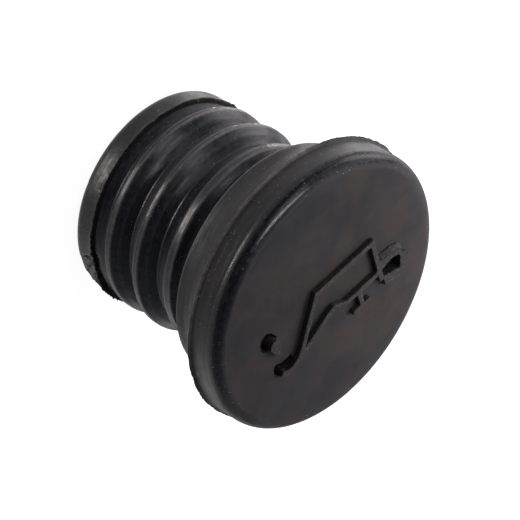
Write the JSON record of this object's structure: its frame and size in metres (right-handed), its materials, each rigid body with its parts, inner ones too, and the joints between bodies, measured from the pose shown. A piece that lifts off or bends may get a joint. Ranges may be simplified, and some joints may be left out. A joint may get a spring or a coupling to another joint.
{
  "type": "oil filler cap",
  "caption": "Push-in rubber oil filler cap with a raised oil can on its flat head, a flared collar, snap-in ribs and a blind hollow open at its inner end.",
  "frame": {"origin": "centre of the inner end's flat ring, where the cap stands", "axes": "+Z along the cap's axis from the inner end to the head; +X to the right of the upright pictogram, +Y to its top"},
  "size_m": [0.049, 0.049, 0.0402],
  "materials": {
    "moulded_rubber": "matt moulded black rubber with a slight sheen, dusty on its edges"
  },
  "bodies": {
    "root": {"oil_filler_cap": "moulded_rubber"}
  },
  "joints": []
}
